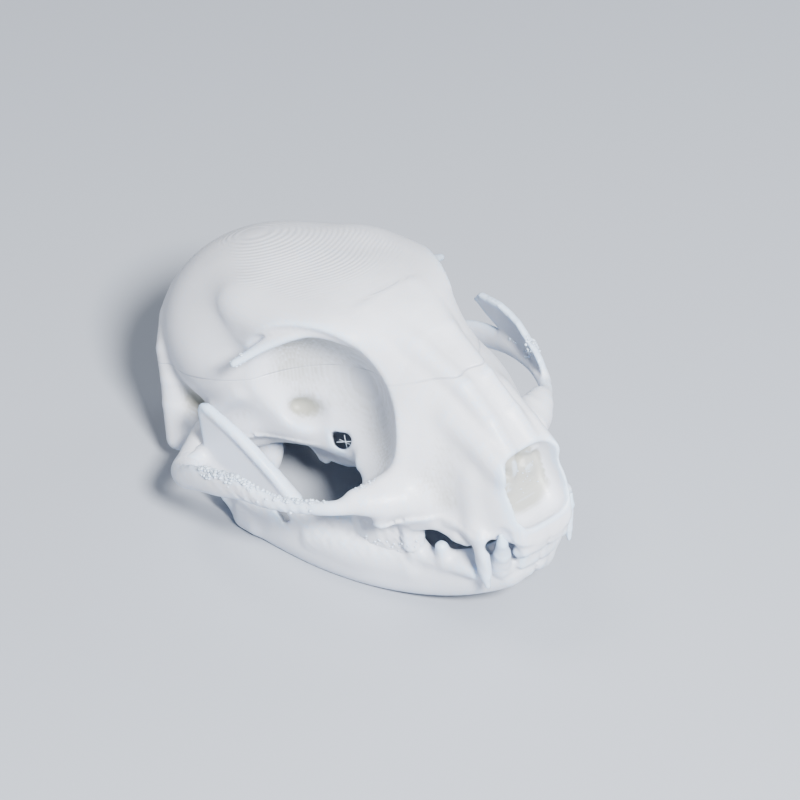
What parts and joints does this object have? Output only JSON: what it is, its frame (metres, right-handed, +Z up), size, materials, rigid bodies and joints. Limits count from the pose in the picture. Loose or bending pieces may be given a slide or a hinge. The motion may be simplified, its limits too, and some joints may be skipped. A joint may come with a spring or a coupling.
{
  "type": "printed cat skull model",
  "caption": "Life-size 3D-printed model of a domestic cat's skull with its jaw shut, in milky white plastic, lying on its lower jaw",
  "frame": {"origin": "on the table under the middle of the skull's length and width", "axes": "+Z up; +Y towards the back of the head, along the skull's length; +X towards the animal's left side"},
  "size_m": [0.0678, 0.091, 0.0489],
  "materials": {
    "print_plastic": "milky translucent white filament with a soft silk sheen and fine layer lines",
    "print_plastic_thin": "the same filament where it is thin and lets light through"
  },
  "bodies": {
    "root": {"braincase": "print_plastic", "face": "print_plastic", "cheek_arch_left": "print_plastic_thin", "cheek_arch_right": "print_plastic_thin", "ear_capsule_left": "print_plastic", "ear_capsule_right": "print_plastic", "jaw_left": "print_plastic_thin", "jaw_right": "print_plastic_thin"}
  },
  "joints": []
}
